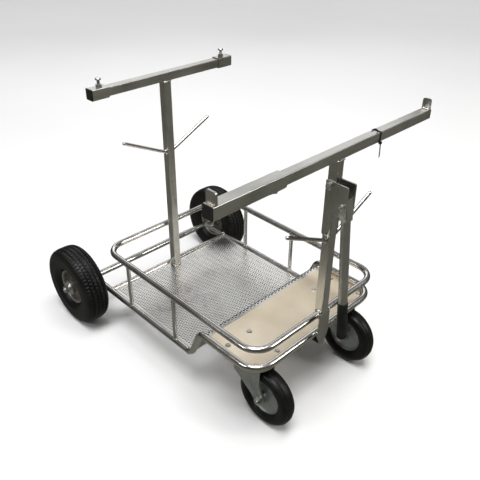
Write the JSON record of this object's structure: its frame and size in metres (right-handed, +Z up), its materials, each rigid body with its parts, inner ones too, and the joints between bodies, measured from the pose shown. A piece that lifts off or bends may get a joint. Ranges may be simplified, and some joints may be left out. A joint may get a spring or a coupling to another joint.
{
  "type": "carrying trolley",
  "caption": "Tubular steel carrying trolley with a low basket, perforated floor, T-shaped supports, large rear tyres, swivel front casters and a hinged pull handle.",
  "frame": {"origin": "on the floor below the middle of the whole trolley", "axes": "+X forward to the casters, +Y to the left side, +Z up"},
  "size_m": [0.9732, 0.775, 0.8248],
  "materials": {
    "steel": "polished",
    "brushed_square": "brushed",
    "perforated_sheet": "satin",
    "plain_plate": "brushed",
    "zinc": "zinc plated",
    "rim": "satin",
    "core": "matte",
    "tyre": "matte",
    "caster_rubber": "matte",
    "black_plastic": "satin",
    "grip": "matte"
  },
  "bodies": {
    "frame": {"axle_tube": "steel", "lower_tube_left": "steel", "lower_tube_right": "steel", "rear_cross_tube": "steel", "floor_cross_tube": "steel", "upper_rail": "steel", "stanchion_rear_left": "steel", "stanchion_rear_right": "steel", "stanchion_front_left": "steel", "stanchion_front_right": "steel", "rear_hook_left": "steel", "rear_hook_right": "steel", "front_hook_left": "steel", "front_hook_right": "steel", "rear_post": "brushed_square", "front_post": "brushed_square", "rear_bar": "brushed_square", "front_bar": "brushed_square", "front_stop_left": "brushed_square", "bracket_cheek_left": "brushed_square", "bracket_cheek_right": "brushed_square", "foot_strap": "brushed_square", "perforated_floor": "perforated_sheet", "front_plate": "plain_plate", "rear_axle": "zinc", "axle_nuts": "zinc", "caster_bolts": "zinc", "bracket_clamp_bolt": "zinc", "handle_pivot_bolt": "zinc", "caster_plate_left": "zinc", "caster_plate_right": "zinc", "front_bar_plug": "black_plastic", "cable_tie": "black_plastic", "foot_buffer": "grip"},
    "rear_wheel_left": {"rear_tyre_left": "tyre", "rear_rim_left": "rim", "rear_hub_left": "zinc"},
    "rear_wheel_right": {"rear_tyre_right": "tyre", "rear_rim_right": "rim", "rear_hub_right": "zinc"},
    "caster_swivel_left": {"caster_fork_left": "zinc", "caster_axle_left": "zinc"},
    "caster_swivel_right": {"caster_fork_right": "zinc", "caster_axle_right": "zinc"},
    "caster_wheel_left": {"caster_tyre_left": "caster_rubber", "caster_core_left": "core"},
    "caster_wheel_right": {"caster_tyre_right": "caster_rubber", "caster_core_right": "core"},
    "pull_handle": {"handle_tube": "brushed_square", "handle_grip": "grip"},
    "front_extension": {"front_sleeve": "brushed_square", "front_sleeve_plug": "black_plastic", "front_stop_right": "brushed_square"},
    "front_lock": {"front_lock_screw": "zinc"},
    "rear_extension_left": {"rear_sleeve_left": "brushed_square", "rear_plug_left": "black_plastic"},
    "rear_extension_right": {"rear_sleeve_right": "brushed_square", "rear_plug_right": "black_plastic"},
    "rear_lock_left": {"rear_lock_screw_left": "zinc"},
    "rear_lock_right": {"rear_lock_screw_right": "zinc"}
  },
  "joints": [
    {"name": "rear_wheel_left_spin", "type": "hinge", "parent": "frame", "child": "rear_wheel_left", "pos_m": [-0.357, 0.305, 0.13], "axis": [0, 1, 0], "continuous": true},
    {"name": "caster_left_swivel", "type": "hinge", "parent": "frame", "child": "caster_swivel_left", "pos_m": [0.319, 0.178, 0.19], "axis": [0, 0, 1], "continuous": true},
    {"name": "caster_left_spin", "type": "hinge", "parent": "caster_swivel_left", "child": "caster_wheel_left", "pos_m": [0.377, 0.178, 0.09], "axis": [0, 1, 0], "continuous": true},
    {"name": "rear_extension_left_slide", "type": "slide", "parent": "frame", "child": "rear_extension_left", "axis": [0, 1, 0], "range_m": [-0.007, 0.008]},
    {"name": "rear_lock_left_turn", "type": "hinge", "parent": "rear_extension_left", "child": "rear_lock_left", "pos_m": [-0.2295, 0.218, 0.81], "axis": [0, 0, 1], "range_deg": [0, 360]},
    {"name": "rear_wheel_right_spin", "type": "hinge", "parent": "frame", "child": "rear_wheel_right", "pos_m": [-0.357, -0.305, 0.13], "axis": [0, 1, 0], "continuous": true},
    {"name": "caster_right_swivel", "type": "hinge", "parent": "frame", "child": "caster_swivel_right", "pos_m": [0.319, -0.178, 0.19], "axis": [0, 0, 1], "continuous": true},
    {"name": "caster_right_spin", "type": "hinge", "parent": "caster_swivel_right", "child": "caster_wheel_right", "pos_m": [0.377, -0.178, 0.09], "axis": [0, 1, 0], "continuous": true},
    {"name": "rear_extension_right_slide", "type": "slide", "parent": "frame", "child": "rear_extension_right", "axis": [0, -1, 0], "range_m": [-0.007, 0.008]},
    {"name": "rear_lock_right_turn", "type": "hinge", "parent": "rear_extension_right", "child": "rear_lock_right", "pos_m": [-0.2295, -0.218, 0.81], "axis": [0, 0, 1], "range_deg": [0, 360]},
    {"name": "front_extension_slide", "type": "slide", "parent": "frame", "child": "front_extension", "axis": [0, -1, 0], "range_m": [-0.085, 0.05]},
    {"name": "front_lock_turn", "type": "hinge", "parent": "front_extension", "child": "front_lock", "pos_m": [0.399, -0.209, 0.725], "axis": [0, 0, -1], "range_deg": [0, 360]},
    {"name": "pull_handle_swing", "type": "hinge", "parent": "frame", "child": "pull_handle", "pos_m": [0.439, 0, 0.63], "axis": [0, -1, 0], "range_deg": [0, 120]}
  ]
}
